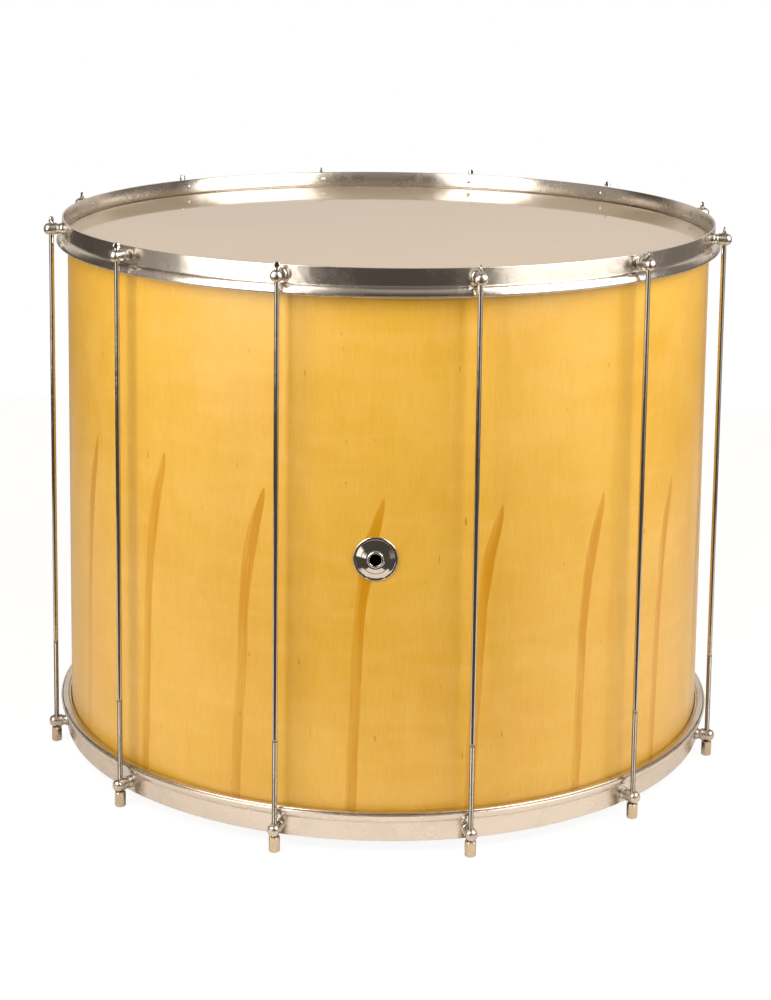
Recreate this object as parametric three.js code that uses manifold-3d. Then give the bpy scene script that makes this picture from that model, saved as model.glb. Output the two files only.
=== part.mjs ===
// Two-headed surdo: plywood shell, pressed counterhoops, domed lugs, tension rods and tuning nuts.
import * as THREE from 'three';
import { mergeVertices } from 'three/addons/utils/BufferGeometryUtils.js';
import Module from 'manifold-3d';

// Shell
const shellRadius = 303;
const shellThickness = 8.5;
const bearingRound = 2;
const bearingFlat = 1.5;
const bearingBevel = 5;

// Counterhoops, measured between their free edges
const hoopSpan = 489;
const hoopSheet = 1.5;
const shoulderWidth = 5.3;
const upperWallHeight = 15;
const lowerWallHeight = 17;
const skirtHeight = 7.7;
const rootFillet = 1;
const beadRound = 1.6;

// Heads and flesh hoops
const filmThickness = 0.4;
const filmBend = 2;
const filmCollar = 6;
const filmBelowShoulder = 0.2;
const fleshWidth = 7.5;
const fleshHeight = 7.5;
const fleshBevel = 0.8;

// Lugs
const lugHeadRadius = 5.5;
const lugNeckRadius = 4.5;
const lugFootRadius = 5.3;
const lugWaistReach = 3.2;
const lugNeckLength = 5.6;
const lugBeyondRod = 1.8;
const rivetRadius = 3;
const rivetHeadRadius = 4;
const rivetHeadHeight = 1.3;

// Tension rods
const rodStandOff = 10.7;
const rodRadius = 2.38;
const rodEndAboveNutFace = 1.5;
const paddleHeight = 5.7;
const paddleWidth = 7;
const paddleThickness = 2;
const paddleOutlineShares = [[0.33, 0], [0.5, 0.4], [0.43, 0.78], [0.22, 1]];
const paddleTurnDegrees = [47, 140, 97, 165, 77, 135, 47, 160, 115, 157, 135, 105];

// Tuning nuts
const nutLength = 13.5;
const nutAcrossFlats = 9;
const nutBevel = 0.7;

// Vent
const ventHeight = 255;
const ventFlangeRadius = 19;
const ventFlangeEdge = 0.9;
const ventShoulderRadius = 17.5;
const ventShoulderRise = 2;
const ventDishRadius = 15.5;
const ventDishRise = 1.8;
const ventRootRadius = 8;
const ventRootRise = 2.6;
const ventRingRadius = 6.6;
const ventRingRise = 3.5;
const ventBore = 5;
const ventTubeRadius = 7;
const ventWasherRadius = 13;
const ventWasherThickness = 1;
const ventLipRadius = 8.6;
const ventLipThickness = 1;

// Fits
const seatGap = 0.3;
const rodClearance = 0.3;
const cutOverrun = 2;
const weldTolerance = 0.0001;

// Counts of sides
const lugCount = 12;
const ringSides = 60;
const lugSides = 8;
const boreSides = 8;
const ventSides = 24;
const firstLugDegrees = 15;

// Radii, from the shell outward
const filmInner = shellRadius + seatGap;
const filmOuter = filmInner + filmThickness;
const filmFlat = filmInner - filmBend - seatGap;
const fleshInner = filmOuter + seatGap;
const fleshOuter = fleshInner + fleshWidth;
const skirtRadius = fleshOuter + seatGap + hoopSheet;
const wallRadius = skirtRadius - shoulderWidth;
const lugWaist = wallRadius + lugWaistReach;
const lugNeckEnd = wallRadius + lugNeckLength;
const rodCircle = wallRadius + rodStandOff;
const lugDomeStart = rodCircle + lugBeyondRod;
const lugTip = lugDomeStart + lugHeadRadius;

// Levels above the nuts' lower faces
const lowerLugLevel = nutLength + seatGap + lugHeadRadius;
const lowerEdgeLevel = lowerLugLevel - lowerWallHeight / 2;
const upperEdgeLevel = lowerEdgeLevel + hoopSpan;
const upperLugLevel = upperEdgeLevel - upperWallHeight / 2;
const upperFilmLevel = upperEdgeLevel - upperWallHeight - filmBelowShoulder;
const lowerFilmLevel = lowerEdgeLevel + lowerWallHeight + filmBelowShoulder;
const shellTop = upperFilmLevel - filmThickness - seatGap;
const shellBottom = lowerFilmLevel + filmThickness + seatGap;
const paddleFoot = upperLugLevel + lugHeadRadius + seatGap;
const flatShare = Math.cos(Math.PI / ringSides);
const wallSeat = wallRadius * flatShare + seatGap;
const wallInnerSeat = (wallRadius - hoopSheet) * flatShare - seatGap;

const wasm = await Module();
wasm.setup();

const colours = {
  wood: new THREE.Color(0xe0a648),
  film: new THREE.Color(0xd8c5ac),
  chrome: new THREE.Color(0xbdb4a8),
  aluminium: new THREE.Color(0xc6beb2),
  nickel: new THREE.Color(0xc9bfb0),
  brass: new THREE.Color(0xcbb083),
};

function woodFinish() {
  return new THREE.MeshStandardMaterial({ color: colours.wood, roughness: 0.35, metalness: 0 });
}

function filmFinish() {
  return new THREE.MeshStandardMaterial({ color: colours.film, roughness: 0.25, metalness: 0 });
}

function metalFinish(colour, roughness) {
  return new THREE.MeshStandardMaterial({ color: colour, roughness, metalness: 1 });
}

function weld(geometry) {
  geometry.deleteAttribute('normal');
  geometry.deleteAttribute('uv');
  const merged = mergeVertices(geometry, weldTolerance);
  const corners = merged.index.array;
  const kept = [];
  for (let i = 0; i < corners.length; i += 3) {
    const a = corners[i];
    const b = corners[i + 1];
    const c = corners[i + 2];
    if (a !== b && b !== c && c !== a) {
      kept.push(a, b, c);
    }
  }
  merged.setIndex(kept);
  return merged;
}

function signedVolume(geometry) {
  const place = geometry.attributes.position;
  const corners = geometry.index.array;
  const a = new THREE.Vector3();
  const b = new THREE.Vector3();
  const c = new THREE.Vector3();
  let total = 0;
  for (let i = 0; i < corners.length; i += 3) {
    a.fromBufferAttribute(place, corners[i]);
    b.fromBufferAttribute(place, corners[i + 1]);
    c.fromBufferAttribute(place, corners[i + 2]);
    total += a.dot(b.cross(c)) / 6;
  }
  return total;
}

function facingOut(geometry) {
  if (signedVolume(geometry) > 0) {
    return geometry;
  }
  const turned = [];
  const corners = geometry.index.array;
  for (let i = 0; i < corners.length; i += 3) {
    turned.push(corners[i], corners[i + 2], corners[i + 1]);
  }
  geometry.setIndex(turned);
  return geometry;
}

function solidOf(geometry) {
  const mesh = new wasm.Mesh({
    numProp: 3,
    vertProperties: new Float32Array(geometry.attributes.position.array),
    triVerts: new Uint32Array(geometry.index.array),
  });
  return new wasm.Manifold(mesh);
}

function geometryOf(solid) {
  const mesh = solid.getMesh();
  const geometry = new THREE.BufferGeometry();
  geometry.setAttribute('position', new THREE.BufferAttribute(new Float32Array(mesh.vertProperties), 3));
  geometry.setIndex(Array.from(mesh.triVerts));
  return geometry;
}

// A closed loop of [radius, level] pairs turned about the upright axis.
function turnedLoop(loop, sides) {
  const outline = loop.map(([radius, level]) => new THREE.Vector2(radius, level));
  outline.push(outline[0].clone());
  const geometry = new THREE.LatheGeometry(outline, sides);
  geometry.rotateX(Math.PI / 2);
  return facingOut(weld(geometry));
}

// A chain of [radius, level] pairs that starts and ends on the upright axis.
function turnedChain(chain, sides) {
  const outline = chain.map(([radius, level]) => new THREE.Vector2(radius, level));
  const geometry = new THREE.LatheGeometry(outline, sides);
  geometry.rotateX(Math.PI / 2);
  return facingOut(weld(geometry));
}

// A round bar along X from one place to another, its flats never nearer than the radius.
function crossBar(radius, from, to, sides) {
  const reach = radius / Math.cos(Math.PI / sides);
  const bar = new THREE.CylinderGeometry(reach, reach, to - from, sides);
  bar.rotateZ(Math.PI / 2);
  bar.translate((from + to) / 2, 0, 0);
  return facingOut(weld(bar));
}

function uprightBar(radius, from, to, sides) {
  const bar = new THREE.CylinderGeometry(radius, radius, to - from, sides);
  bar.rotateX(Math.PI / 2);
  bar.translate(0, 0, (from + to) / 2);
  return facingOut(weld(bar));
}

function uprightBore(radius, from, to) {
  return uprightBar(radius / Math.cos(Math.PI / boreSides), from, to, boreSides);
}

function lugAngle(number) {
  return THREE.MathUtils.degToRad(firstLugDegrees + (360 / lugCount) * number);
}

function shellForm() {
  const inner = shellRadius - shellThickness;
  const loop = [
    [shellRadius, shellBottom + bearingRound],
    [shellRadius, shellTop - bearingRound],
    [shellRadius - bearingRound, shellTop],
    [shellRadius - bearingRound - bearingFlat, shellTop],
    [inner, shellTop - bearingBevel],
    [inner, shellBottom + bearingBevel],
    [shellRadius - bearingRound - bearingFlat, shellBottom],
    [shellRadius - bearingRound, shellBottom],
  ];
  const body = solidOf(turnedLoop(loop, ringSides));
  const bore = crossBar(ventTubeRadius + seatGap, inner - cutOverrun, shellRadius + cutOverrun, ventSides);
  bore.rotateZ(-Math.PI / 2);
  bore.translate(0, 0, ventHeight);
  return geometryOf(body.subtract(solidOf(bore)));
}

// Depths run from a hoop's free edge towards the drum's middle.
function hoopLoop(wallHeight) {
  const depth = wallHeight + skirtHeight;
  const under = wallHeight + hoopSheet;
  const wallInner = wallRadius - hoopSheet;
  const skirtInner = skirtRadius - hoopSheet;
  return [
    [wallInner, 0],
    [wallRadius, 0],
    [wallRadius, wallHeight - rootFillet],
    [wallRadius + rootFillet, wallHeight],
    [skirtRadius - beadRound, wallHeight],
    [skirtRadius, wallHeight + beadRound],
    [skirtRadius, depth],
    [skirtInner, depth],
    [skirtInner, under],
    [wallInner + beadRound, under],
    [wallInner, under - beadRound],
  ];
}

function atLevels(loop, edgeLevel, direction) {
  return loop.map(([radius, depth]) => [radius, edgeLevel + direction * depth]);
}

function hoopForm(wallHeight, edgeLevel, direction, lugLevel) {
  let body = solidOf(turnedLoop(atLevels(hoopLoop(wallHeight), edgeLevel, direction), ringSides));
  const from = wallRadius - hoopSheet - cutOverrun;
  const to = wallRadius + cutOverrun;
  for (let number = 0; number < lugCount; number += 1) {
    const hole = crossBar(rivetRadius + seatGap, from, to, boreSides);
    hole.rotateZ(lugAngle(number));
    hole.translate(0, 0, lugLevel);
    body = body.subtract(solidOf(hole));
  }
  return geometryOf(body);
}

function fleshForm(wallHeight, edgeLevel, direction) {
  const near = wallHeight + hoopSheet + seatGap;
  const far = near + fleshHeight;
  const loop = [
    [fleshInner, near],
    [fleshOuter - fleshBevel, near],
    [fleshOuter, near + fleshBevel],
    [fleshOuter, far],
    [fleshInner, far],
  ];
  return turnedLoop(atLevels(loop, edgeLevel, direction), ringSides);
}

// The flat of a head's film. Its bent edge is a solid of its own, so that each stays simple to collide with.
function headForm(filmLevel, direction) {
  const chain = [
    [0, 0],
    [filmFlat, 0],
    [filmFlat, filmThickness],
    [0, filmThickness],
  ];
  return turnedChain(atLevels(chain, filmLevel, direction), ringSides);
}

function headCollarForm(filmLevel, direction) {
  const loop = [
    [filmInner - filmBend, 0],
    [filmOuter - filmBend, 0],
    [filmOuter, filmBend],
    [filmOuter, filmCollar],
    [filmInner, filmCollar],
    [filmInner, filmBend],
    [filmInner - filmBend, filmThickness],
  ];
  return turnedLoop(atLevels(loop, filmLevel, direction), ringSides);
}

// Built along +X with its axis at level zero, then carried round the hoop.
function lugForm() {
  const bend = Math.SQRT1_2 * lugHeadRadius;
  const chain = [
    [0, wallInnerSeat - rivetHeadHeight],
    [rivetHeadRadius, wallInnerSeat],
    [rivetRadius, wallInnerSeat],
    [rivetRadius, wallSeat],
    [lugFootRadius, wallSeat],
    [lugNeckRadius, lugWaist],
    [lugHeadRadius, lugNeckEnd],
    [lugHeadRadius, lugDomeStart],
    [bend, lugDomeStart + bend],
    [0, lugTip],
  ];
  const pin = turnedChain(chain, lugSides);
  pin.rotateY(Math.PI / 2);
  const reach = lugHeadRadius + cutOverrun;
  const hole = uprightBore(rodRadius + rodClearance, -reach, reach);
  hole.translate(rodCircle, 0, 0);
  return geometryOf(solidOf(pin).subtract(solidOf(hole)));
}

function paddleForm(turnDegrees) {
  const outline = new THREE.Shape();
  const right = paddleOutlineShares.map(([side, rise]) => [side * paddleWidth, rise * paddleHeight]);
  const left = right.map(([side, rise]) => [-side, rise]).reverse();
  const ring = right.concat(left);
  outline.moveTo(ring[0][0], ring[0][1]);
  for (const [side, rise] of ring.slice(1)) {
    outline.lineTo(side, rise);
  }
  outline.closePath();
  const blade = new THREE.ExtrudeGeometry(outline, { depth: paddleThickness, bevelEnabled: false });
  blade.translate(0, 0, -paddleThickness / 2);
  blade.rotateX(Math.PI / 2);
  blade.rotateZ(THREE.MathUtils.degToRad(turnDegrees));
  blade.translate(0, 0, paddleFoot);
  return facingOut(weld(blade));
}

function rodForm(number) {
  const stem = uprightBar(rodRadius, rodEndAboveNutFace, paddleFoot + seatGap, boreSides);
  const body = solidOf(stem).add(solidOf(paddleForm(paddleTurnDegrees[number])));
  return geometryOf(body);
}

function nutForm() {
  const corner = nutAcrossFlats / 2 / Math.cos(Math.PI / 6);
  const chain = [
    [0, 0],
    [corner - nutBevel, 0],
    [corner, nutBevel],
    [corner, nutLength - nutBevel],
    [corner - nutBevel, nutLength],
    [0, nutLength],
  ];
  const body = solidOf(turnedChain(chain, 6));
  const bore = uprightBore(rodRadius + rodClearance, -cutOverrun, nutLength + cutOverrun);
  return geometryOf(body.subtract(solidOf(bore)));
}

// Turned about the vent's own axis: level zero is the drum's axis, the flange looks outward.
function eyeletForm() {
  const face = shellRadius + seatGap;
  const inner = shellRadius - shellThickness;
  const washerFace = ventWasherFace();
  const lipStart = washerFace - ventWasherThickness - seatGap;
  const seatDrop = ventFlangeEdge;
  const loop = [
    [ventBore, lipStart - ventLipThickness],
    [ventLipRadius, lipStart - ventLipThickness],
    [ventLipRadius, lipStart],
    [ventTubeRadius, lipStart],
    [ventTubeRadius, inner + cutOverrun],
    [ventTubeRadius, face - seatDrop],
    [ventFlangeRadius, face - seatDrop],
    [ventFlangeRadius, face + ventFlangeEdge],
    [ventShoulderRadius, face + ventShoulderRise],
    [ventDishRadius, face + ventDishRise],
    [ventRootRadius, face + ventRootRise],
    [ventRingRadius, face + ventRootRise],
    [ventRingRadius, face + ventRingRise],
    [ventBore, face + ventRingRise],
  ];
  const body = turnedLoop(loop, ventSides);
  body.rotateX(Math.PI / 2);
  body.translate(0, 0, ventHeight);
  const reach = ventFlangeRadius + cutOverrun;
  const clear = turnedLoop([
    [ventTubeRadius, ventHeight - reach],
    [shellRadius + seatGap, ventHeight - reach],
    [shellRadius + seatGap, ventHeight + reach],
    [ventTubeRadius, ventHeight + reach],
  ], ringSides);
  const keep = crossBar(ventTubeRadius + weldTolerance, inner / 2, face + cutOverrun, ventSides);
  keep.rotateZ(-Math.PI / 2);
  keep.translate(0, 0, ventHeight);
  const lipKeep = crossBar(ventLipRadius + cutOverrun, inner / 2, lipStart + seatGap / 2, ventSides);
  lipKeep.rotateZ(-Math.PI / 2);
  lipKeep.translate(0, 0, ventHeight);
  const mould = solidOf(clear).subtract(solidOf(keep)).subtract(solidOf(lipKeep));
  return geometryOf(solidOf(body).subtract(mould));
}

function ventWasherFace() {
  const inner = shellRadius - shellThickness;
  return inner - ventWasherRadius * Math.tan(Math.PI / ringSides) - seatGap;
}

function washerForm() {
  const face = ventWasherFace();
  const bore = (ventTubeRadius + seatGap) / Math.cos(Math.PI / ventSides);
  const loop = [
    [bore, face - ventWasherThickness],
    [ventWasherRadius, face - ventWasherThickness],
    [ventWasherRadius, face],
    [bore, face],
  ];
  const body = turnedLoop(loop, ventSides);
  body.rotateX(Math.PI / 2);
  body.translate(0, 0, ventHeight);
  return body;
}

const drum = new THREE.Group();
drum.name = 'surdo';

function addPiece(name, geometry, finish) {
  geometry.computeVertexNormals();
  const mesh = new THREE.Mesh(geometry, finish);
  mesh.name = name;
  drum.add(mesh);
}

function addRound(prefix, number, form, radius, level, finish) {
  const geometry = form.clone();
  geometry.translate(radius, 0, level);
  geometry.rotateZ(lugAngle(number));
  addPiece(`${prefix}_${String(number + 1).padStart(2, '0')}`, geometry, finish);
}

addPiece('shell', shellForm(), woodFinish());
addPiece('top_head', headForm(upperFilmLevel, -1), filmFinish());
addPiece('bottom_head', headForm(lowerFilmLevel, 1), filmFinish());
addPiece('top_head_collar', headCollarForm(upperFilmLevel, -1), filmFinish());
addPiece('bottom_head_collar', headCollarForm(lowerFilmLevel, 1), filmFinish());
addPiece('top_flesh_hoop', fleshForm(upperWallHeight, upperEdgeLevel, -1), metalFinish(colours.aluminium, 0.3));
addPiece('bottom_flesh_hoop', fleshForm(lowerWallHeight, lowerEdgeLevel, 1), metalFinish(colours.aluminium, 0.3));
const upperHoop = hoopForm(upperWallHeight, upperEdgeLevel, -1, upperLugLevel);
const lowerHoop = hoopForm(lowerWallHeight, lowerEdgeLevel, 1, lowerLugLevel);
addPiece('top_hoop', upperHoop, metalFinish(colours.chrome, 0.15));
addPiece('bottom_hoop', lowerHoop, metalFinish(colours.chrome, 0.2));
addPiece('vent_eyelet', eyeletForm(), metalFinish(colours.chrome, 0.15));
addPiece('vent_washer', washerForm(), metalFinish(colours.nickel, 0.3));

const lug = lugForm();
const nut = nutForm();
for (let number = 0; number < lugCount; number += 1) {
  addRound('top_lug', number, lug, 0, upperLugLevel, metalFinish(colours.nickel, 0.15));
  addRound('bottom_lug', number, lug, 0, lowerLugLevel, metalFinish(colours.nickel, 0.15));
  addRound('tension_rod', number, rodForm(number), rodCircle, 0, metalFinish(colours.nickel, 0.15));
  addRound('tuning_nut', number, nut, rodCircle, 0, metalFinish(colours.brass, 0.3));
}

export default drum;
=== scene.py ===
import bpy
import bmesh
import math
from mathutils import Matrix, Vector


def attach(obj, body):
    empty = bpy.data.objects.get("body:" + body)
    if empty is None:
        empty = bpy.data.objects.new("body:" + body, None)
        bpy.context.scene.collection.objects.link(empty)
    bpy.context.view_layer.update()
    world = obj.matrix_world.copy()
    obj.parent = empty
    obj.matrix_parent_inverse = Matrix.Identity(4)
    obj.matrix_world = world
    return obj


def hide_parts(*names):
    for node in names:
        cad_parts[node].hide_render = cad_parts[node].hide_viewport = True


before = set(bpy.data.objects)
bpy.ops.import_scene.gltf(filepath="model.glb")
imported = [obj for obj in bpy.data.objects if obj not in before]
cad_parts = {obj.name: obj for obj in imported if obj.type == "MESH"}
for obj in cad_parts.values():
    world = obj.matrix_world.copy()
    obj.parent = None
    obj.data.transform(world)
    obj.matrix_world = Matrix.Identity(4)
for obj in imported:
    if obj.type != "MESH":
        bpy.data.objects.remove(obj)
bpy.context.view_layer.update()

MM = 0.001

# Sizes of the drum in millimetres, as in its solids
SHELL_RADIUS = 303.0
SHELL_WALL = 8.5
HOOP_SHEET = 1.5
SHOULDER = 5.3
UPPER_WALL = 15.0
LOWER_WALL = 17.0
SKIRT = 7.7
HOOP_SPAN = 489.0
FILM = 0.4
COLLAR = 6.0
GAP = 0.3
FLESH_WIDTH = 7.5
FLESH_HEIGHT = 7.5
LUG_RADIUS = 5.5
LUG_NECK = 4.5
LUG_FOOT = 5.3
RIVET = 1.9
ROD_RADIUS = 2.38
ROD_SHANK = 2.26
ROD_BORE = ROD_RADIUS + 0.28
NUT_LENGTH = 13.5
NUT_FLATS = 9.0
NUT_ROUND = 4.82
LUGS = 12
FIRST_LUG = 15.0
VENT_LEVEL = 255.0
VENT_HOLE = 7.3
VENT_TUBE = 6.9
VENT_BORE = 5.0

# Radii, counted outwards from the shell
FLESH_INNER = SHELL_RADIUS + GAP + FILM + GAP
FLESH_OUTER = FLESH_INNER + FLESH_WIDTH
SKIRT_RADIUS = FLESH_OUTER + GAP + HOOP_SHEET
WALL_RADIUS = SKIRT_RADIUS - SHOULDER
ROD_CIRCLE = WALL_RADIUS + 10.7
DOME_START = ROD_CIRCLE + 1.8
DOME_RISE = LUG_RADIUS - 0.42

# Levels, counted up from the nuts' lower faces
LOWER_LUG = NUT_LENGTH + GAP + LUG_RADIUS
LOWER_EDGE = LOWER_LUG - LOWER_WALL / 2
UPPER_EDGE = LOWER_EDGE + HOOP_SPAN
UPPER_LUG = UPPER_EDGE - UPPER_WALL / 2
UPPER_FILM = UPPER_EDGE - UPPER_WALL - 0.2
LOWER_FILM = LOWER_EDGE + LOWER_WALL + 0.2
SHELL_TOP = UPPER_FILM - FILM - GAP
SHELL_BOTTOM = LOWER_FILM + FILM + GAP
PADDLE_FOOT = UPPER_LUG + LUG_RADIUS + GAP

# How far each rod's flat head is turned, in degrees
PADDLE_TURNS = [47, 140, 97, 165, 77, 135, 47, 160, 115, 157, 135, 105]

# The skirt's section from the wall outwards, as shares of its reach and of its fall
SKIRT_BULGE = [(0.20, 0.03), (0.36, 0.08), (0.50, 0.15), (0.62, 0.24), (0.73, 0.35), (0.82, 0.47),
               (0.89, 0.59), (0.945, 0.71), (0.98, 0.82), (1.0, 0.91), (0.985, 0.97)]

# The hammered head of a rod: share of its height, half width and half thickness where it is
# still round, then share of its height, share of its full width and half thickness
HEAD_ROOT = [(-0.1, ROD_SHANK, ROD_SHANK), (0.03, 2.5, 2.0), (0.14, 2.95, 1.5)]
HEAD_FLAT = [(0.3, 1.0, 1.1), (0.48, 1.0, 1.0), (0.64, 0.95, 0.95), (0.78, 0.85, 0.9),
             (0.88, 0.7, 0.8), (0.95, 0.5, 0.62), (0.99, 0.25, 0.35)]
HEAD_HEIGHT = 5.65
HEAD_WIDTH = 3.42

# Facets round each turned piece
RING_STEPS = 360
HOOP_STEPS = 480
FLANGE_STEPS = 96
WASHER_STEPS = 72
NUT_STEPS = 72
DRILL_STEPS = 48
LUG_STEPS = 40
BORE_STEPS = 32
ROD_STEPS = 16

# The rolled thread on the rods, and where the painted dark reflection on the rods' flat heads begins
THREAD_LOW = 1.5
THREAD_HIGH = 98.5
THREAD_PITCH = 1.058
THREAD_DEPTH = 0.42
HEAD_SHADE_LEVEL = 496.5

# The knot lines in the veneer: one for each turn of the peeled log
KNOT_REPEAT = math.radians(19.15)
KNOT_START = math.radians(1.2)
KNOT_TIP = 0.3085
KNOT_STEP = -0.0058

# Metres from the axis at which the handling marks keep their scale
MARKS_REACH = 0.31


# Node helpers
def add(tree, kind, **values):
    made = tree.nodes.new(kind)
    for key, value in values.items():
        setattr(made, key, value)
    return made


def put(tree, socket, value):
    if isinstance(value, bpy.types.NodeSocket):
        tree.links.new(value, socket)
    else:
        socket.default_value = value


def maths(tree, operation, *inputs, clamp=False):
    made = add(tree, "ShaderNodeMath", operation=operation, use_clamp=clamp)
    for socket, value in zip(made.inputs, inputs):
        put(tree, socket, value)
    return made.outputs[0]


def times(tree, first, second):
    return maths(tree, "MULTIPLY", first, second)


def plus(tree, first, second):
    return maths(tree, "ADD", first, second)


def minus(tree, first, second):
    return maths(tree, "SUBTRACT", first, second)


def blend_colour(tree, factor, first, second):
    made = add(tree, "ShaderNodeMix", data_type="RGBA", blend_type="MIX")
    put(tree, made.inputs[0], factor)
    put(tree, made.inputs[6], first)
    put(tree, made.inputs[7], second)
    return made.outputs[2]


def steps(tree, value, low, high, to_low=0.0, to_high=1.0):
    made = add(tree, "ShaderNodeMapRange", clamp=True, interpolation_type="SMOOTHSTEP")
    put(tree, made.inputs[0], value)
    made.inputs[1].default_value = low
    made.inputs[2].default_value = high
    made.inputs[3].default_value = to_low
    made.inputs[4].default_value = to_high
    return made.outputs[0]


def grain_noise(tree, vector, scale, detail, rough, distort=0.0):
    made = add(tree, "ShaderNodeTexNoise", noise_dimensions="3D")
    put(tree, made.inputs["Vector"], vector)
    made.inputs["Scale"].default_value = scale
    made.inputs["Detail"].default_value = detail
    made.inputs["Roughness"].default_value = rough
    made.inputs["Distortion"].default_value = distort
    return made.outputs[0]


def vector_of(tree, x, y, z):
    made = add(tree, "ShaderNodeCombineXYZ")
    for socket, value in zip(made.inputs, (x, y, z)):
        put(tree, socket, value)
    return made.outputs[0]


def parts_of(tree, vector):
    made = add(tree, "ShaderNodeSeparateXYZ")
    tree.links.new(vector, made.inputs[0])
    return made.outputs


def scaled(tree, vector, factor):
    made = add(tree, "ShaderNodeVectorMath", operation="SCALE")
    put(tree, made.inputs[0], vector)
    put(tree, made.inputs["Scale"], factor)
    return made.outputs[0]


def object_place(tree):
    return add(tree, "ShaderNodeTexCoord").outputs["Object"]


def new_group(name, inputs, outputs):
    tree = bpy.data.node_groups.new(name, "ShaderNodeTree")
    for label, value in inputs:
        socket = tree.interface.new_socket(label, in_out="INPUT", socket_type="NodeSocketFloat")
        socket.default_value = value
    for label in outputs:
        tree.interface.new_socket(label, in_out="OUTPUT", socket_type="NodeSocketFloat")
    return tree, add(tree, "NodeGroupInput"), add(tree, "NodeGroupOutput")


def use_group(tree, group, **values):
    made = add(tree, "ShaderNodeGroup", node_tree=group)
    for key, value in values.items():
        put(tree, made.inputs[key], value)
    return made.outputs


# Shared effects
def round_the_shell():
    """Places on the drum's side: metres round the shell, metres up, and the angle from the front."""
    tree, _, out = new_group("Round the shell", [], ["Around", "Up", "Angle"])
    x, y, z = parts_of(tree, object_place(tree))
    angle = maths(tree, "ARCTAN2", x, times(tree, y, -1.0))
    put(tree, out.inputs["Around"], times(tree, angle, SHELL_RADIUS * MM))
    put(tree, out.inputs["Up"], z)
    put(tree, out.inputs["Angle"], angle)
    return tree


def handling_marks():
    """Fine scratches and a soft film of handling on bright metal."""
    tree, into, out = new_group(
        "Handling marks", [("Scale", 1.0), ("Stretch", 0.08), ("Amount", 0.5)], ["Smear", "Scratch"])
    scale, stretch, amount = (into.outputs[label] for label in ("Scale", "Stretch", "Amount"))
    place = object_place(tree)
    x, y, z = parts_of(tree, place)
    angle = maths(tree, "ARCTAN2", x, y)
    round_way = times(tree, times(tree, angle, MARKS_REACH), stretch)
    along = vector_of(tree, round_way, z, 0.0)
    smear = grain_noise(tree, scaled(tree, place, scale), 26.0, 4.0, 0.6, 0.4)
    scratch = grain_noise(tree, scaled(tree, along, scale), 1400.0, 2.0, 0.6)
    smear = times(tree, steps(tree, smear, 0.35, 0.75), amount)
    put(tree, out.inputs["Smear"], smear)
    put(tree, out.inputs["Scratch"], times(tree, scratch, amount))
    return tree


ROUND = round_the_shell()
MARKS = handling_marks()


def finish(name):
    """A new material with its shader, ready for its own pattern."""
    made = bpy.data.materials.new(name)
    made.use_nodes = True
    tree = made.node_tree
    return made, tree, tree.nodes["Principled BSDF"]


def bump(tree, shader, height, strength, distance):
    made = add(tree, "ShaderNodeBump")
    made.inputs["Strength"].default_value = strength
    made.inputs["Distance"].default_value = distance
    put(tree, made.inputs["Height"], height)
    tree.links.new(made.outputs[0], shader.inputs["Normal"])


# Materials
def figure(tree, side, across, along, seed, scale, detail, rough, distort=0.0):
    """Noise in the wood, stretched by across round the shell and by along up it."""
    around = times(tree, side["Around"], across)
    up = times(tree, side["Up"], along)
    return grain_noise(tree, vector_of(tree, around, up, seed), scale, detail, rough, distort)


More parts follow.
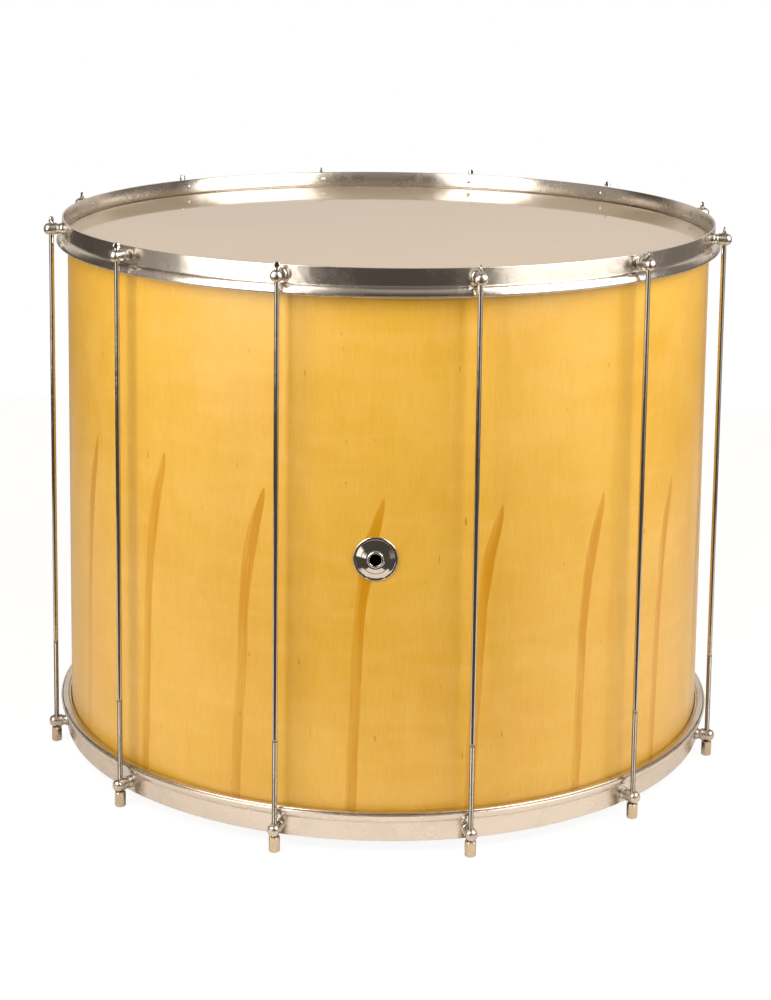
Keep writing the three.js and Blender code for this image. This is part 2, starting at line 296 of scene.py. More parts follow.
def knot_lines(tree, side):
    """Brown lines left by a knot: each has a tip, leans over below it, and fades towards its tail."""
    up = side["Up"]
    turn = maths(tree, "DIVIDE", minus(tree, side["Angle"], KNOT_START), KNOT_REPEAT)
    number = maths(tree, "ROUND", turn)
    uneven = add(tree, "ShaderNodeTexWhiteNoise", noise_dimensions="1D")
    put(tree, uneven.inputs["W"], number)
    tip = plus(tree, times(tree, number, KNOT_STEP), KNOT_TIP)
    tip = plus(tree, tip, times(tree, minus(tree, uneven.outputs[0], 0.5), 0.006))
    # the second one to the left of the vent starts higher than its neighbours
    tip = plus(tree, tip, times(tree, maths(tree, "COMPARE", number, -2.0, 0.5), 0.011))
    below = minus(tree, tip, up)
    drop = maths(tree, "MAXIMUM", below, 0.0)

    bend = maths(tree, "POWER", maths(tree, "DIVIDE", drop, 0.052), 1.35)
    bend = maths(tree, "EXPONENT", times(tree, bend, -1.0))
    lean = times(tree, minus(tree, 1.0, bend), 0.0165)
    lean = plus(tree, lean, times(tree, drop, 0.034))
    sway = grain_noise(tree, vector_of(tree, number, times(tree, up, 9.0), 0.0), 1.0, 2.0, 0.5)
    lean = plus(tree, lean, times(tree, minus(tree, sway, 0.5), 0.005))
    across = times(tree, minus(tree, turn, number), KNOT_REPEAT * SHELL_RADIUS * MM)
    across = plus(tree, across, lean)

    swell = minus(tree, 1.0, maths(tree, "EXPONENT", maths(tree, "DIVIDE", drop, -0.020)))
    half = times(tree, swell, steps(tree, drop, 0.04, 0.11, 0.0064, 0.0047))
    wisp = minus(tree, figure(tree, side, 240.0, 14.0, 3.0, 1.0, 3.0, 0.6), 0.5)
    reach = plus(tree, half, times(tree, wisp, 0.0022))
    inside = steps(tree, minus(tree, reach, maths(tree, "ABSOLUTE", across)), -0.0004, 0.0007)

    start = steps(tree, below, 0.0, 0.006)
    fade = maths(tree, "MULTIPLY_ADD", steps(tree, below, 0.06, 0.20, 1.0, 0.0), 0.36, 0.64)
    patchy = figure(tree, side, 60.0, 8.0, 7.0, 1.0, 2.0, 0.5)
    streak = times(tree, times(tree, inside, start), fade)
    streak = times(tree, streak, steps(tree, patchy, 0.3, 0.7, 0.55, 1.1))
    dark_side = steps(tree, plus(tree, across, times(tree, half, 0.2)), -0.004, 0.004)
    streak = times(tree, streak, maths(tree, "MULTIPLY_ADD", dark_side, 0.45, 0.6))
    line = vector_of(tree, times(tree, across, 900.0), times(tree, up, 12.0), number)
    line = grain_noise(tree, line, 1.0, 2.0, 0.6)
    return times(tree, streak, steps(tree, line, 0.35, 0.65, 0.72, 1.25))


def lacquered_veneer():
    made, tree, shader = finish("Lacquered veneer")
    side = use_group(tree, ROUND)
    streak = knot_lines(tree, side)
    fibre = figure(tree, side, 1.0, 0.035, 0.0, 1500.0, 3.0, 0.65)
    vein = figure(tree, side, 1.0, 0.05, 2.0, 190.0, 3.0, 0.55, 0.6)
    cloud = figure(tree, side, 1.0, 1.0, 5.0, 7.0, 3.0, 0.55, 0.2)
    cross = figure(tree, side, 0.35, 1.6, 9.0, 34.0, 2.0, 0.5, 0.5)
    mottle = figure(tree, side, 1.0, 0.5, 6.0, 55.0, 3.0, 0.6, 0.8)
    fleck = figure(tree, side, 1.0, 0.22, 4.0, 260.0, 1.0, 0.5)
    hair = figure(tree, side, 420.0, 11.0, 8.0, 1.0, 1.0, 0.5, 0.3)
    ripple = figure(tree, side, 1.0, 0.7, 1.0, 21.0, 2.0, 0.5)
    flecks = steps(tree, fleck, 0.745, 0.79)
    flecks = maths(tree, "MAXIMUM", flecks, steps(tree, hair, 0.775, 0.80, 0.0, 0.6))

    pale = (0.775, 0.473, 0.061, 1.0)
    deep = (0.720, 0.408, 0.035, 1.0)
    colour = blend_colour(tree, steps(tree, cloud, 0.32, 0.68), deep, pale)
    layers = [
        (steps(tree, vein, 0.30, 0.70, 0.0, 0.32), (0.83, 0.465, 0.085, 1.0)),
        (steps(tree, cross, 0.40, 0.72, 0.0, 0.36), (0.86, 0.52, 0.12, 1.0)),
        (steps(tree, mottle, 0.50, 0.70, 0.0, 0.24), (0.87, 0.53, 0.13, 1.0)),
        (steps(tree, mottle, 0.30, 0.48, 0.16, 0.0), (0.66, 0.335, 0.022, 1.0)),
        (steps(tree, fibre, 0.30, 0.72, 0.26, 0.0), (0.58, 0.27, 0.020, 1.0)),
        (maths(tree, "MULTIPLY", streak, 1.25, clamp=True), (0.590, 0.265, 0.002, 1.0)),
        (times(tree, flecks, 0.55), (0.30, 0.13, 0.03, 1.0))]
    for share, tone in layers:
        colour = blend_colour(tree, share, colour, tone)
    tree.links.new(colour, shader.inputs["Base Color"])
    put(tree, shader.inputs["Roughness"], steps(tree, fibre, 0.2, 0.8, 0.30, 0.42))
    shader.inputs["Specular IOR Level"].default_value = 0.2
    shader.inputs["Coat Weight"].default_value = 1.0
    shader.inputs["Coat Roughness"].default_value = 0.32
    shader.inputs["Coat IOR"].default_value = 1.5
    bump(tree, shader, plus(tree, times(tree, fibre, 0.02), ripple), 0.35, 0.0006)
    return made


def drumhead_film():
    made, tree, shader = finish("Drumhead film")
    place = object_place(tree)
    cloud = grain_noise(tree, place, 6.0, 3.0, 0.5, 0.2)
    mottle = grain_noise(tree, place, 90.0, 3.0, 0.6)
    darker, lighter = (0.500, 0.393, 0.278, 1.0), (0.525, 0.414, 0.296, 1.0)
    colour = blend_colour(tree, steps(tree, cloud, 0.3, 0.7), darker, lighter)
    specks = steps(tree, mottle, 0.35, 0.75, 0.0, 0.10)
    colour = blend_colour(tree, specks, colour, (0.48, 0.37, 0.265, 1.0))
    tree.links.new(colour, shader.inputs["Base Color"])
    put(tree, shader.inputs["Roughness"], steps(tree, mottle, 0.3, 0.7, 0.03, 0.06))
    shader.inputs["Specular IOR Level"].default_value = 0.5
    bump(tree, shader, cloud, 0.05, 0.0003)
    return made


def bright_metal(name, colour, dull, roughness, wave, stretch=0.08, scale=1.0, brushed=0.0, rod=False):
    """Plated steel: its cast, handling marks in the gloss, and the slight waves of worked metal."""
    made, tree, shader = finish(name)
    marks = use_group(tree, MARKS, Scale=scale, Stretch=stretch, Amount=0.6)
    smear, scratch = marks["Smear"], marks["Scratch"]
    place = object_place(tree)
    tint = blend_colour(tree, smear, (*colour, 1.0), (*dull, 1.0))
    if rod:
        # duller where the thread is rolled; where the head is hammered flat it is painted darker, a painted
        # reflection of the dark room
        level = parts_of(tree, place)[2]
        thread = steps(tree, level, (THREAD_HIGH - 1.0) * MM, (THREAD_HIGH + 1.0) * MM, 1.0, 0.0)
        tint = blend_colour(tree, thread, tint, (0.300, 0.275, 0.245, 1.0))
        head = steps(tree, level, HEAD_SHADE_LEVEL * MM, (HEAD_SHADE_LEVEL + 1.5) * MM, 0.0, 0.55)
        tint = blend_colour(tree, head, tint, (0.260, 0.235, 0.205, 1.0))
    tree.links.new(tint, shader.inputs["Base Color"])
    shader.inputs["Metallic"].default_value = 1.0
    shader.inputs["Anisotropic"].default_value = brushed
    shader.inputs["Anisotropic Rotation"].default_value = 0.25
    rough = plus(tree, smear, times(tree, scratch, 0.7))
    put(tree, shader.inputs["Roughness"], steps(tree, rough, 0.1, 1.0, *roughness))
    waves = grain_noise(tree, place, 17.0 * scale, 3.0, 0.6, 0.3)
    bump(tree, shader, plus(tree, waves, times(tree, scratch, 0.02)), wave, 0.002)
    return made


VENEER = lacquered_veneer()
FILM_SKIN = drumhead_film()
# Both hoops are the same plated steel, given as a lit and a shaded copy: the upper one is painted darker as
# painted shade, the lower one paler and less warm as painted light.
SHADED_UPPER_PLATE = bright_metal("Plated upper hoop with painted shade", (0.700, 0.645, 0.585), (0.600, 0.545, 0.485),
                           (0.22, 0.36), 0.30, brushed=0.7)
LIT_LOWER_PLATE = bright_metal("Plated lower hoop with painted light", (0.810, 0.750, 0.700), (0.740, 0.680, 0.625),
                           (0.24, 0.36), 0.22, brushed=0.6)
FLESH_METAL = bright_metal("Drawn flesh hoop", (0.700, 0.640, 0.570), (0.600, 0.540, 0.470),
                           (0.18, 0.34), 0.15)
LUG_METAL = bright_metal("Turned lug", (0.680, 0.625, 0.560), (0.560, 0.505, 0.440),
                         (0.24, 0.36), 0.08, scale=4.0)
ROD_METAL = bright_metal("Drawn rod", (0.640, 0.600, 0.550), (0.520, 0.475, 0.425),
                         (0.05, 0.14), 0.05, stretch=3.0, scale=3.0, rod=True)
NUT_METAL = bright_metal("Pale nut", (0.700, 0.595, 0.455), (0.610, 0.500, 0.350),
                         (0.16, 0.34), 0.06, scale=4.0)
VENT_METAL = bright_metal("Plated vent", (0.720, 0.690, 0.650), (0.600, 0.570, 0.530),
                          (0.05, 0.14), 0.05, scale=4.0)


# Mesh helpers
def rounded(points, closed, arc_steps):
    """An outline of (radius, level, fillet) turned into points, each corner with its own fillet."""
    count = len(points)
    out = []
    for i, (x, y, fillet) in enumerate(points):
        ends = not closed and i in (0, count - 1)
        if ends or fillet <= 0:
            out.append((x, y))
            continue
        here = Vector((x, y))
        before = Vector(points[i - 1][:2]) - here
        after = Vector(points[(i + 1) % count][:2]) - here
        reach = min(fillet, before.length * 0.49, after.length * 0.49)
        first = here + before.normalized() * reach
        last = here + after.normalized() * reach
        for s in range(arc_steps + 1):
            t = s / arc_steps
            spot = first * (1 - t) ** 2 + here * (2 * t * (1 - t)) + last * t ** 2
            out.append((spot.x, spot.y))
    return out


def piece_from(name, verts, faces, material, crease=0.6):
    mesh = bpy.data.meshes.new(name)
    mesh.from_pydata([[c * MM for c in v] for v in verts], [], faces)
    work = bmesh.new()
    work.from_mesh(mesh)
    bmesh.ops.remove_doubles(work, verts=work.verts, dist=1e-8)
    bmesh.ops.recalc_face_normals(work, faces=work.faces)
    work.to_mesh(mesh)
    work.free()
    mesh.shade_smooth()
    mesh.set_sharp_from_angle(angle=crease)
    mesh.materials.append(material)
    made = bpy.data.objects.new(name, mesh)
    bpy.context.scene.collection.objects.link(made)
    return made


def turned(name, outline, material, steps_round=RING_STEPS, closed=True, crease=0.6, lift=None):
    """Turns an outline of (radius, level) about the axis. An open one starts and ends on the axis."""
    verts, faces = [], []
    count = len(outline)
    for s in range(steps_round):
        a = 2 * math.pi * s / steps_round
        for radius, level in outline:
            if lift:
                radius, level = lift(radius, level, a)
            verts.append((radius * math.cos(a), radius * math.sin(a), level))
    spans = count if closed else count - 1
    for s in range(steps_round):
        t = (s + 1) % steps_round
        for i in range(spans):
            j = (i + 1) % count
            a, b, c, d = s * count + i, s * count + j, t * count + j, t * count + i
            if outline[i][0] == 0:
                faces.append((a, b, c))
            elif outline[j][0] == 0:
                faces.append((a, b, d))
            else:
                faces.append((a, b, c, d))
    return piece_from(name, verts, faces, material, crease)


def bake(made):
    """Turns an object with live modifiers into a plain mesh."""
    bpy.context.view_layer.update()
    seen = made.evaluated_get(bpy.context.evaluated_depsgraph_get())
    done = bpy.data.meshes.new_from_object(seen)
    made.modifiers.clear()
    old = made.data
    made.data = done
    bpy.data.meshes.remove(old)


def shift(made, x, y, z):
    made.data.transform(Matrix.Translation((x, y, z)))


def spin(made, angle, axis):
    made.data.transform(Matrix.Rotation(angle, 4, axis))


def run_tree(made, name, tree, **values):
    """Runs a geometry tree on an object, with its inputs set, and keeps the result as a plain mesh."""
    live = made.modifiers.new(name, "NODES")
    live.node_group = tree
    for item in tree.interface.items_tree:
        label = item.name.replace(" ", "_")
        if item.item_type == "SOCKET" and item.in_out == "INPUT" and label in values:
            live[item.identifier] = values[label]
    bake(made)


def geometry_tree(name, inputs):
    tree = bpy.data.node_groups.new(name, "GeometryNodeTree")
    tree.interface.new_socket("Geometry", in_out="INPUT", socket_type="NodeSocketGeometry")
    for label, kind, value in inputs:
        socket = tree.interface.new_socket(label, in_out="INPUT", socket_type=kind)
        if value is not None:
            socket.default_value = value
    tree.interface.new_socket("Geometry", in_out="OUTPUT", socket_type="NodeSocketGeometry")
    return tree, add(tree, "NodeGroupInput"), add(tree, "NodeGroupOutput")


def painted(tree, into, out, shape):
    """Ends a tree: what it made becomes real, takes its material and goes out."""
    real = add(tree, "GeometryNodeRealizeInstances")
    tree.links.new(shape, real.inputs[0])
    paint = add(tree, "GeometryNodeSetMaterial")
    tree.links.new(real.outputs[0], paint.inputs["Geometry"])
    tree.links.new(into.outputs["Material"], paint.inputs["Material"])
    tree.links.new(paint.outputs[0], out.inputs[0])
    return tree


def ring_of_copies():
    """Copies a piece round the drum's axis: one each at equal angles."""
    tree, into, out = geometry_tree("Ring of copies", [
        ("Count", "NodeSocketInt", 12), ("First Angle", "NodeSocketFloat", 0.0),
        ("Material", "NodeSocketMaterial", None)])
    points = add(tree, "GeometryNodePoints")
    tree.links.new(into.outputs["Count"], points.inputs["Count"])
    index = add(tree, "GeometryNodeInputIndex").outputs[0]
    part = maths(tree, "DIVIDE", 2 * math.pi, into.outputs["Count"])
    angle = plus(tree, times(tree, index, part), into.outputs["First Angle"])
    copies = add(tree, "GeometryNodeInstanceOnPoints")
    tree.links.new(points.outputs[0], copies.inputs["Points"])
    tree.links.new(into.outputs["Geometry"], copies.inputs["Instance"])
    tree.links.new(vector_of(tree, 0.0, 0.0, angle), copies.inputs["Rotation"])
    return painted(tree, into, out, copies.outputs[0])


def rolled_thread():
    """Cuts a rolled thread into the part of a rod between two levels, fading out at its ends."""
    tree, into, out = geometry_tree("Rolled thread", [
        ("Pitch", "NodeSocketFloat", 0.001), ("Depth", "NodeSocketFloat", 0.0003),
        ("Start", "NodeSocketFloat", 0.0), ("End", "NodeSocketFloat", 0.1),
        ("Material", "NodeSocketMaterial", None)])
    x, y, level = parts_of(tree, add(tree, "GeometryNodeInputPosition").outputs[0])
    angle = maths(tree, "ARCTAN2", y, x)
    climb = maths(tree, "DIVIDE", level, into.outputs["Pitch"])
    turns = minus(tree, climb, maths(tree, "DIVIDE", angle, 2 * math.pi))
    crest = maths(tree, "ABSOLUTE", minus(tree, maths(tree, "FRACT", turns), 0.5))
    wave = times(tree, crest, 2.0)
    entry = maths(tree, "DIVIDE", minus(tree, level, into.outputs["Start"]), 0.0015, clamp=True)
    run_out = maths(tree, "DIVIDE", minus(tree, into.outputs["End"], level), 0.0025, clamp=True)
    cut = times(tree, times(tree, wave, into.outputs["Depth"]), times(tree, entry, run_out))
    outward = add(tree, "ShaderNodeVectorMath", operation="NORMALIZE")
    put(tree, outward.inputs[0], vector_of(tree, x, y, 0.0))
    carve = add(tree, "GeometryNodeSetPosition")
    tree.links.new(into.outputs["Geometry"], carve.inputs["Geometry"])
    inward = scaled(tree, outward.outputs[0], times(tree, cut, -1.0))
    tree.links.new(inward, carve.inputs["Offset"])
    return painted(tree, into, out, carve.outputs[0])


RING = ring_of_copies()
THREAD = rolled_thread()


def lug_angle(number):
    return math.radians(FIRST_LUG + 360.0 / LUGS * number)


def to_its_place(made, number, turn):
    """Moves a piece from the axis to the lug of that number, turned about its own axis."""
    a = lug_angle(number)
    place = Matrix.Translation((ROD_CIRCLE * MM * math.cos(a), ROD_CIRCLE * MM * math.sin(a), 0))
    made.data.transform(place @ Matrix.Rotation(turn, 4, "Z"))


# Pieces
def shell():
    inner = SHELL_RADIUS - SHELL_WALL
    outline = [
        (SHELL_RADIUS, SHELL_BOTTOM + 2.0, 1.5), (SHELL_RADIUS, SHELL_TOP - 2.0, 1.5),
        (SHELL_RADIUS - 2.0, SHELL_TOP, 1.2), (SHELL_RADIUS - 3.5, SHELL_TOP, 0.5),
        (inner, SHELL_TOP - 5.0, 1.0), (inner, SHELL_BOTTOM + 5.0, 1.0),
        (SHELL_RADIUS - 3.5, SHELL_BOTTOM, 0.5), (SHELL_RADIUS - 2.0, SHELL_BOTTOM, 1.2)]
    made = turned("wooden_shell", rounded(outline, True, 4), VENEER)
    drill = drill_bar("vent_drill", VENT_HOLE, inner - 6.0, SHELL_RADIUS + 6.0, DRILL_STEPS)
    spin(drill, -math.pi / 2, "Z")
    shift(drill, 0, 0, VENT_LEVEL * MM)
    cut_with(made, drill)
    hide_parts("shell")
    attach(made, "drum")


def drill_bar(name, radius, start, end, sides):
    """A plain round cutter along X."""
    angles = [2 * math.pi * s / sides for s in range(sides)]
    ring = [(math.cos(a) * radius, math.sin(a) * radius) for a in angles]
    verts = [(start, y, z) for y, z in ring] + [(end, y, z) for y, z in ring]
    faces = [(s, (s + 1) % sides, sides + (s + 1) % sides, sides + s) for s in range(sides)]
    faces += [tuple(reversed(range(sides))), tuple(range(sides, 2 * sides))]
    return piece_from(name, verts, faces, LUG_METAL)


def cut_with(made, cutter):
    tool = made.modifiers.new("Cut", "BOOLEAN")
    tool.operation = "DIFFERENCE"
    tool.solver = "EXACT"
    tool.object = cutter
    bake(made)
    bpy.data.objects.remove(cutter, do_unlink=True)
    made.data.shade_smooth()
    made.data.set_sharp_from_angle(angle=0.6)


def hoop(name, node, wall, edge, way, material):
    """Depths run from the free edge towards the middle of the drum. The skirt bulges as it is rolled."""
    inner = WALL_RADIUS - HOOP_SHEET
    skirt_inner = SKIRT_RADIUS - HOOP_SHEET - 0.15
    root = WALL_RADIUS + 0.6
    deep = wall + SKIRT
    front = rounded([(inner, 0.0, 0.6), (WALL_RADIUS, 0.0, 0.6),
                     (WALL_RADIUS, wall, 0.3), (root, wall, 0.0)], False, 6)
    front[0] = (inner, 0.5)
    front.insert(1, (inner + 0.4, 0.02))
    reach = SKIRT_RADIUS - WALL_RADIUS - 0.6
    bulge = [(root + reach * share, wall + SKIRT * fall) for share, fall in SKIRT_BULGE]
    back = rounded([(SKIRT_RADIUS - 0.35, deep, 0.0), (SKIRT_RADIUS - 1.2, deep, 0.0),
                    (skirt_inner, deep - 1.2, 0.6), (skirt_inner, wall + HOOP_SHEET + 2.0, 1.0),
                    (inner, wall + HOOP_SHEET, 2.6), (inner, 0.5, 0.0)], False, 6)
    outline = [(r, edge + way * d) for r, d in front + bulge + back[:-1]]
    made = turned(name, outline, material, HOOP_STEPS, crease=1.0)
    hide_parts(node)
    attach(made, "drum")


def flesh_hoop(name, node, wall, edge, way):
    near = wall + HOOP_SHEET + GAP
    far = near + FLESH_HEIGHT
    depths = [(FLESH_INNER, near, 0.3), (FLESH_OUTER, near, 0.9), (FLESH_OUTER, far, 1.6),
              (FLESH_INNER + 2.2, far, 0.8), (FLESH_INNER + 1.5, far - 0.8, 0.3),
              (FLESH_INNER, far - 0.8, 0.3)]
    outline = rounded([(r, edge + way * d, f) for r, d, f in depths], True, 5)
    made = turned(name, outline, FLESH_METAL, crease=1.0)
    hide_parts(node)
    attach(made, "drum")


def drumhead(name, node, level, way):
    """The flat film and its edge, bent over the shell's rim."""
    inner = SHELL_RADIUS + GAP
    outer = inner + FILM
    flat = outer - 20.0
    depths = [(0.0, 0.0, 0.0), (flat, 0.0, 0.0), (outer, 0.0, 2.6), (outer, COLLAR, 0.1),
              (inner, COLLAR, 0.1), (inner, FILM, 2.4), (flat, FILM, 0.0), (0.0, FILM, 0.0)]
    outline = rounded([(r, level + way * d, f) for r, d, f in depths], False, 6)
    made = turned(name, outline, FILM_SKIN, closed=False, crease=1.0)
    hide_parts(node, node + "_collar")
    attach(made, "drum")


def lug_blank(level):
    """One turned pin along +X: rivet head, shank, neck, rounded body and dome, drilled for the rod."""
    seat = WALL_RADIUS + 0.12
    inside = WALL_RADIUS - HOOP_SHEET - 0.12
    body = LUG_RADIUS * 0.985
    tip = DOME_START + DOME_RISE
    outline = [(0.0, inside - 0.9, 0.0), (1.1, inside - 0.75, 0.4), (RIVET + 0.4, inside - 0.1, 0.2),
               (RIVET, inside, 0.1), (RIVET, seat, 0.1), (LUG_FOOT, seat, 0.2), (LUG_FOOT, seat + 1.9, 0.7),
               (LUG_NECK, seat + 2.6, 0.6), (LUG_NECK, WALL_RADIUS + 4.9, 0.5),
               (body, WALL_RADIUS + 5.9, 0.6), (body, DOME_START, 0.0)]
    dome = []
    for k in range(1, 11):
        t = math.radians(8 * k)
        dome.append((body * math.cos(t) ** 0.84, DOME_START + DOME_RISE * math.sin(t) ** 0.92))
    chain = rounded(outline, False, 4) + dome + [(0.0, tip)]
    made = turned("lug_blank", chain, LUG_METAL, LUG_STEPS, closed=False, crease=0.5)
    spin(made, math.pi / 2, "Y")
    bore = drill_bar("rod_drill", ROD_BORE, -LUG_RADIUS * 2, LUG_RADIUS * 2, BORE_STEPS)
    spin(bore, math.pi / 2, "Y")
    shift(bore, ROD_CIRCLE * MM, 0, 0)
    cut_with(made, bore)
    shift(made, 0, 0, level * MM)
    return made


def lugs(name, nodes, level):
    made = lug_blank(level)
    made.name = name
    run_tree(made, "Ring", RING, Count=LUGS, First_Angle=math.radians(FIRST_LUG), Material=LUG_METAL)
    made.data.set_sharp_from_angle(angle=0.5)
    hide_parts(*nodes)
    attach(made, "drum")


def rod(number):
    """A drawn rod, hammered flat at the top and threaded at its lower end."""
    entry = THREAD_LOW + 0.4
    span = THREAD_HIGH - THREAD_LOW
    count = int(span / (THREAD_PITCH / 5))
    rings = [(THREAD_LOW, ROD_RADIUS - 0.35, ROD_RADIUS - 0.35), (entry, ROD_RADIUS, ROD_RADIUS)]
    rings += [(entry + span * (k + 1) / count, ROD_RADIUS, ROD_RADIUS) for k in range(count)]
    plain = (THREAD_HIGH + 1.2, 200.0, 350.0, PADDLE_FOOT - 2.0)
    rings += [(level, ROD_SHANK, ROD_SHANK) for level in plain]
    # no two neighbouring heads were struck equally wide
    wide = HEAD_WIDTH - 0.25 * ((number * 7) % 3) / 2
    head = HEAD_ROOT + [(share, wide * part, thick) for share, part, thick in HEAD_FLAT]
    rings += [(PADDLE_FOOT + HEAD_HEIGHT * share, across, thick) for share, across, thick in head]
    verts = []
    for level, across, thick in rings:
        for s in range(ROD_STEPS):
            a = 2 * math.pi * s / ROD_STEPS
            verts.append((across * math.cos(a), thick * math.sin(a), level))
    last = (len(rings) - 1) * ROD_STEPS
    faces = []
    for foot in range(0, last, ROD_STEPS):
        for s in range(ROD_STEPS):
            t = (s + 1) % ROD_STEPS
            faces.append((foot + s, foot + t, foot + ROD_STEPS + t, foot + ROD_STEPS + s))
    faces.append(tuple(reversed(range(ROD_STEPS))))
    faces.append(tuple(range(last, last + ROD_STEPS)))
    made = piece_from(f"rod_{number + 1:02d}_drawn", verts, faces, ROD_METAL, crease=0.9)
    run_tree(made, "Thread", THREAD, Pitch=THREAD_PITCH * MM, Depth=THREAD_DEPTH * MM,
             Start=THREAD_LOW * MM, End=THREAD_HIGH * MM, Material=ROD_METAL)
    to_its_place(made, number, lug_angle(number) + math.radians(PADDLE_TURNS[number]))
    made.data.set_sharp_from_angle(angle=0.9)
    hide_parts(f"tension_rod_{number + 1:02d}")
    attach(made, f"rod_{number + 1:02d}")


def nut(number):
    """A long hexagonal nut: its corners are turned off at both ends and its bore is countersunk."""
    flat = NUT_FLATS / 2
    corner = flat / math.cos(math.pi / 6)
    low, high = 0.05, NUT_LENGTH - 0.05

    def hexagonal(radius, level, a):
        side = flat / math.cos((a + math.pi / 6) % (math.pi / 3) - math.pi / 6)
        return min(radius, side, NUT_ROUND), level

    outline = [
        (flat - 0.55, low), (flat - 0.05, 0.35), (flat + 0.35, 0.9), (corner, 1.5),
        (corner, NUT_LENGTH - 1.5), (flat + 0.35, NUT_LENGTH - 0.9),
        (flat - 0.05, NUT_LENGTH - 0.35), (flat - 0.55, high),
        (ROD_BORE + 0.5, high), (ROD_BORE, NUT_LENGTH - 0.6), (ROD_BORE, 0.6), (ROD_BORE + 0.5, low)]
    name = f"nut_{number + 1:02d}_turned"
    made = turned(name, outline, NUT_METAL, NUT_STEPS, crease=0.35, lift=hexagonal)
    to_its_place(made, number, lug_angle(number))
    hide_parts(f"tuning_nut_{number + 1:02d}")
    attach(made, f"nut_{number + 1:02d}")


def to_the_front(made):
    spin(made, math.pi / 2, "X")
    shift(made, 0, 0, VENT_LEVEL * MM)


def vent():
    """The flange outside, in one piece with the tube through the shell, and the washer inside."""
    face = SHELL_RADIUS + GAP
    inner = SHELL_RADIUS - SHELL_WALL
    washer_face = inner - 13.0 * math.tan(math.pi / 60) - GAP
    lip = washer_face - 1.0 - GAP

    def follow(radius, level, a):
        # the flange's back bends with the shell
        if face - 0.6 < level < face + 0.8 and radius > VENT_TUBE:
            across = radius * math.cos(a)
            level = level - (SHELL_RADIUS - math.sqrt(SHELL_RADIUS ** 2 - across ** 2))
        return radius, level

    # the rolled end inside, the tube, the flange's back and rim, its cone, and the ring round the bore
    outline = rounded([
        (VENT_BORE, lip - 0.9, 0.3), (8.2, lip - 0.9, 0.4), (8.2, lip - 0.1, 0.3),
        (VENT_TUBE, lip - 0.1, 0.2), (VENT_TUBE, face - 0.25, 0.1),
        (18.8, face - 0.25, 0.2), (18.85, face + 0.35, 0.3), (18.50, face + 0.80, 0.3),
        (16.7, face + 0.85, 0.2), (16.4, face + 0.68, 0.15), (12.2, face + 2.10, 0.3),
        (11.9, face + 2.04, 0.2), (7.9, face + 3.36, 0.3), (7.4, face + 3.14, 0.2),
        (6.9, face + 3.22, 0.2), (6.4, face + 3.65, 0.4), (5.4, face + 3.65, 0.4),
        (VENT_BORE, face + 3.1, 0.3)], True, 4)
    made = turned("vent_flange", outline, VENT_METAL, FLANGE_STEPS, crease=0.7, lift=follow)
    to_the_front(made)
    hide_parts("vent_eyelet")
    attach(made, "drum")
    back = washer_face - 1.0
    front = washer_face - 0.05
    ring = rounded([(7.35, back, 0.2), (12.9, back, 0.3), (12.9, front, 0.2), (7.35, front, 0.2)], True, 3)
    washer = turned("vent_backing_ring", ring, FLESH_METAL, WASHER_STEPS, crease=0.7)
    to_the_front(washer)
    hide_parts("vent_washer")
    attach(washer, "drum")


# Studio and view
def floor_paper():
    """A sheet of pale paper under the drum, white to the camera but for the drum's own shadow."""
    mesh = bpy.data.meshes.new("studio_floor")
    near, far, side = -0.56, 1.3, 1.1
    corners = [(-side, near, 0), (side, near, 0), (side, far, 0), (-side, far, 0)]
    mesh.from_pydata(corners, [], [(0, 1, 2, 3)])
    floor = bpy.data.objects.new("studio_floor", mesh)
    floor.location.z = -0.0006
    bpy.context.scene.collection.objects.link(floor)
    paper = bpy.data.materials.new("Studio paper")
    paper.use_nodes = True
    tree = paper.node_tree
    tree.nodes.clear()
    out = add(tree, "ShaderNodeOutputMaterial")
    plain = add(tree, "ShaderNodeBsdfDiffuse")
    plain.inputs[0].default_value = (0.80, 0.76, 0.71, 1)
    white = add(tree, "ShaderNodeEmission")
    white.inputs[0].default_value = (1, 1, 1, 1)
    white.inputs[1].default_value = 1.09
    to_camera = add(tree, "ShaderNodeLightPath").outputs["Is Camera Ray"]
    above = mixed(tree, times(tree, to_camera, 0.85), plain, white)
    # from below the paper is clear, so that the underside shows
    clear = add(tree, "ShaderNodeBsdfTransparent")
    below = add(tree, "ShaderNodeNewGeometry").outputs["Backfacing"]
    either = mixed(tree, times(tree, to_camera, below), above, clear)
    tree.links.new(either.outputs[0], out.inputs[0])
    mesh.materials.append(paper)


def mixed(tree, share, first, second):
    made = add(tree, "ShaderNodeMixShader")
    put(tree, made.inputs[0], share)
    tree.links.new(first.outputs[0], made.inputs[1])
    tree.links.new(second.outputs[0], made.inputs[2])
    return made


def between(tree, value, rise_start, rise_end, fall_start, fall_end):
    """One inside a span, with soft ends."""
    rise = steps(tree, value, rise_start, rise_end)
    return times(tree, rise, steps(tree, value, fall_start, fall_end, 1.0, 0.0))


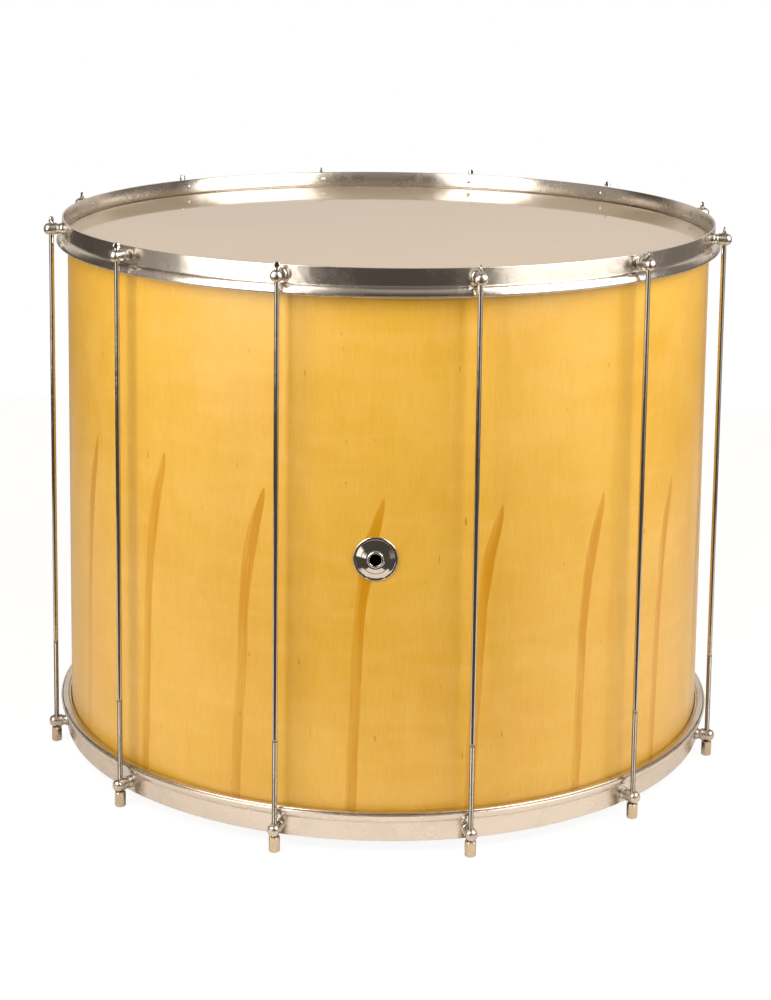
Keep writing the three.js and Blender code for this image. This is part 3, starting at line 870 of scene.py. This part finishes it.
def studio_air():
    """White to the camera. The metal and lacquer see a pale wall behind and a dim room before it."""
    world = bpy.data.worlds.new("Studio air")
    bpy.context.scene.world = world
    world.use_nodes = True
    tree = world.node_tree
    tree.nodes.clear()
    out = add(tree, "ShaderNodeOutputWorld")
    white = add(tree, "ShaderNodeBackground")
    white.inputs[0].default_value = (1, 1, 1, 1)
    room = add(tree, "ShaderNodeBackground")
    across, deep, high = parts_of(tree, add(tree, "ShaderNodeTexCoord").outputs["Generated"])
    bearing = maths(tree, "ARCTAN2", across, times(tree, deep, -1.0))
    bearing = times(tree, bearing, 180.0 / math.pi)

    wall = times(tree, steps(tree, deep, 0.50, 0.75), steps(tree, high, -0.03, 0.02))
    wall = times(tree, wall, steps(tree, high, 0.60, 0.85, 1.0, 0.35))
    low_glow = between(tree, high, -0.235, -0.195, 0.02, 0.10)
    right_glow = between(tree, high, -0.30, -0.19, 0.02, 0.10)
    box_glow = between(tree, high, 0.35, 0.50, 0.80, 0.88)
    upper_part = steps(tree, high, -0.235, -0.195)
    table = steps(tree, deep, 0.84, 0.95)
    ceiling = steps(tree, high, 0.55, 0.85)
    # the bearings count in degrees from the camera's side, positive to the right
    left_far = times(tree, between(tree, bearing, -108.0, -94.0, -66.0, -58.0), upper_part)
    left = times(tree, between(tree, bearing, -66.0, -62.0, -32.0, -27.0), low_glow)
    front_box = times(tree, between(tree, bearing, -55.0, -45.0, 45.0, 55.0), box_glow)
    right = times(tree, between(tree, bearing, 28.0, 50.0, 80.0, 98.0), right_glow)
    right_far = times(tree, between(tree, bearing, 92.0, 100.0, 142.0, 152.0), upper_part)
    share = 0.0
    for part, level in ((wall, 0.36), (table, 0.25), (left_far, 0.18), (right_far, 0.07),
                        (ceiling, 0.03), (left, 0.72), (right, 0.38), (front_box, 0.20)):
        share = maths(tree, "MAXIMUM", share, times(tree, part, level))
    dark, light = (0.080, 0.069, 0.059, 1), (2.0, 1.84, 1.65, 1)
    put(tree, room.inputs[0], blend_colour(tree, share, dark, light))
    to_camera = add(tree, "ShaderNodeLightPath").outputs["Is Camera Ray"]
    tree.links.new(mixed(tree, to_camera, room, white).outputs[0], out.inputs[0])


def lamp_panel(name, angle, distance, low, high, width, radiance, mirrored=True):
    """An upright glowing panel that faces the axis, its angle counted from the camera's side."""
    lamp = bpy.data.lights.new(name, "AREA")
    lamp.shape = "RECTANGLE"
    lamp.size = width
    lamp.size_y = high - low
    lamp.energy = radiance * math.pi * width * (high - low)
    lamp.color = (1.0, 0.96, 0.90)
    made = bpy.data.objects.new(name, lamp)
    a = math.radians(angle)
    made.location = (distance * math.sin(a), -distance * math.cos(a), (low + high) / 2)
    made.rotation_euler = (math.pi / 2, 0, a)
    made.visible_camera = False
    made.visible_glossy = mirrored
    bpy.context.scene.collection.objects.link(made)


def studio():
    floor_paper()
    studio_air()
    lamp_panel("left_soft_box", -43, 1.2, 0.42, 2.1, 0.78, 5.1)
    lamp_panel("right_soft_box", 61, 1.2, 0.50, 2.1, 1.15, 4.9)
    lamp_panel("front_soft_box", 0, 1.6, 1.6, 2.8, 2.4, 1.5, mirrored=False)


def view_of_the_photograph():
    """The camera, as fitted to the rods, lugs and edges that the photograph shows."""
    data = bpy.data.cameras.new("Front view")
    data.sensor_fit = "AUTO"
    data.sensor_width = 36.0
    data.lens = 75.2643
    data.shift_y = -0.292874
    data.clip_start = 0.05
    data.clip_end = 60.0
    made = bpy.data.objects.new("Front view", data)
    bpy.context.scene.collection.objects.link(made)
    distance, height = 1.971746, 0.789585
    pitch, yaw, roll, offset = (math.radians(v) for v in (8.208671, -0.094171, 0.684089, 1.403422))
    level = math.cos(pitch)
    forward = Vector((math.sin(yaw) * level, math.cos(yaw) * level, -math.sin(pitch)))
    right = Vector((math.cos(yaw), -math.sin(yaw), 0.0))
    up = right.cross(forward)
    right_rolled = right * math.cos(roll) + up * math.sin(roll)
    up_rolled = up * math.cos(roll) - right * math.sin(roll)
    turn = Matrix((right_rolled, up_rolled, -forward)).transposed().to_4x4()
    place = Matrix.Translation((0, -distance, height))
    made.matrix_world = Matrix.Rotation(offset, 4, "Z") @ place @ turn
    bpy.context.scene.camera = made


view_of_the_photograph()
shell()
hoop("upper_counterhoop", "top_hoop", UPPER_WALL, UPPER_EDGE, -1, SHADED_UPPER_PLATE)
hoop("lower_counterhoop", "bottom_hoop", LOWER_WALL, LOWER_EDGE, 1, LIT_LOWER_PLATE)
flesh_hoop("upper_flesh_ring", "top_flesh_hoop", UPPER_WALL, UPPER_EDGE, -1)
flesh_hoop("lower_flesh_ring", "bottom_flesh_hoop", LOWER_WALL, LOWER_EDGE, 1)
drumhead("upper_drumhead", "top_head", UPPER_FILM, -1)
drumhead("lower_drumhead", "bottom_head", LOWER_FILM, 1)
numbers = [f"{k + 1:02d}" for k in range(LUGS)]
lugs("upper_lugs", [f"top_lug_{n}" for n in numbers], UPPER_LUG)
lugs("lower_lugs", [f"bottom_lug_{n}" for n in numbers], LOWER_LUG)
for place_number in range(LUGS):
    rod(place_number)
    nut(place_number)
vent()
studio()

scene = bpy.context.scene
scene.view_settings.view_transform = "Standard"
